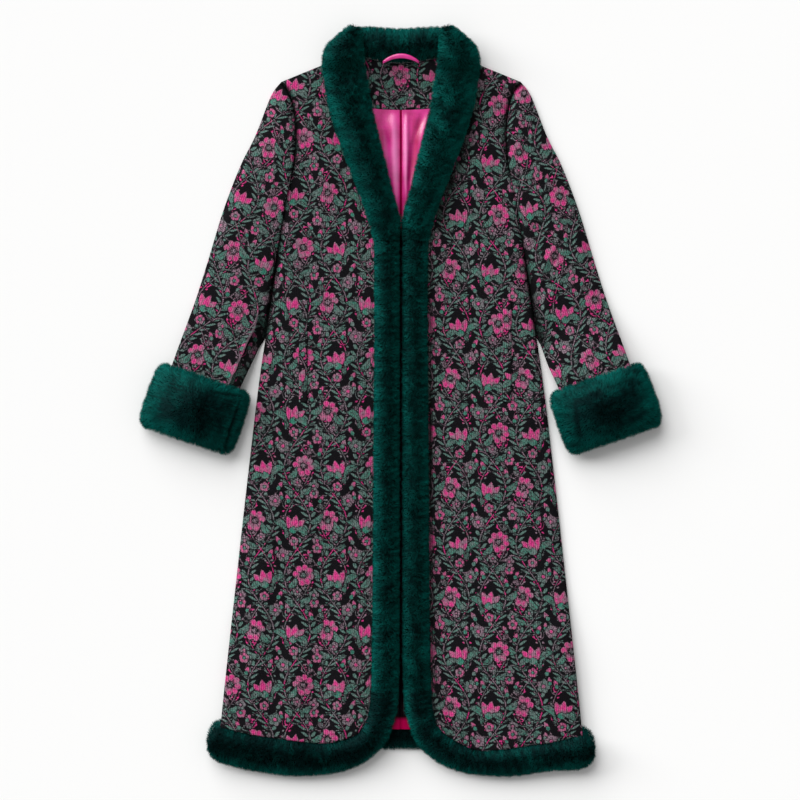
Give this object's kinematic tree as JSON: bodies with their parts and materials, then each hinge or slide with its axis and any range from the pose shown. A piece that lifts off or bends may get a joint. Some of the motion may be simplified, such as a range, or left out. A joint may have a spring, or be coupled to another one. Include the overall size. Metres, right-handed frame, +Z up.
{
  "type": "opera coat",
  "caption": "Long A-line coat laid flat on its back: patterned jacquard body and sleeves, wide plush collar, front bands, hem and cuffs, satin lining.",
  "frame": {"origin": "on the surface the coat lies on, under the middle of its width and length", "axes": "+X towards the wearer's left, +Y towards the collar, +Z up from the surface, out of the coat's front"},
  "size_m": [0.9074, 1.3158, 0.0424],
  "materials": {
    "jacquard": "woven floral jacquard on black",
    "fur": "deep green plush pile",
    "satin": "pink satin"
  },
  "bodies": {
    "root": {"back": "jacquard", "neck_facing": "jacquard", "front_left": "jacquard", "front_right": "jacquard", "sleeve_left": "jacquard", "sleeve_right": "jacquard", "pocket_welt_left": "jacquard", "pocket_welt_right": "jacquard", "collar_left": "fur", "collar_right": "fur", "collar_stand": "fur", "front_band_left": "fur", "front_band_right": "fur", "hem_band_left": "fur", "hem_band_right": "fur", "hem_band_back": "fur", "cuff_left": "fur", "cuff_right": "fur", "back_lining": "satin", "hanger_loop": "satin"}
  },
  "joints": []
}
